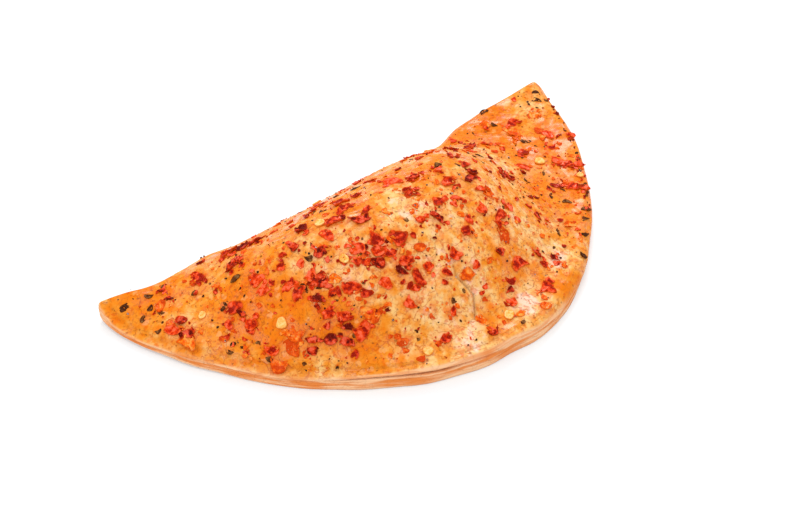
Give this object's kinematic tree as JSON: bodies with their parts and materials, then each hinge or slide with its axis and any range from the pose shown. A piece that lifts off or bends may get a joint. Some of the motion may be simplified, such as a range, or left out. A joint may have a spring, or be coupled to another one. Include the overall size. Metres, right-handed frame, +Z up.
{
  "type": "empanada",
  "caption": "Baked half-moon turnover with a pressed rim, a domed filled belly, and chilli flakes, seeds and herbs baked onto its glazed crust.",
  "frame": {"origin": "on the surface that carries the turnover, under the middle of its box", "axes": "+X along the folded edge, -Y towards the middle of the pressed rim, +Z up"},
  "size_m": [0.1798, 0.0929, 0.0351],
  "materials": {
    "crust": "egg-washed baked dough"
  },
  "bodies": {
    "root": {"pastry": "crust"}
  },
  "joints": []
}
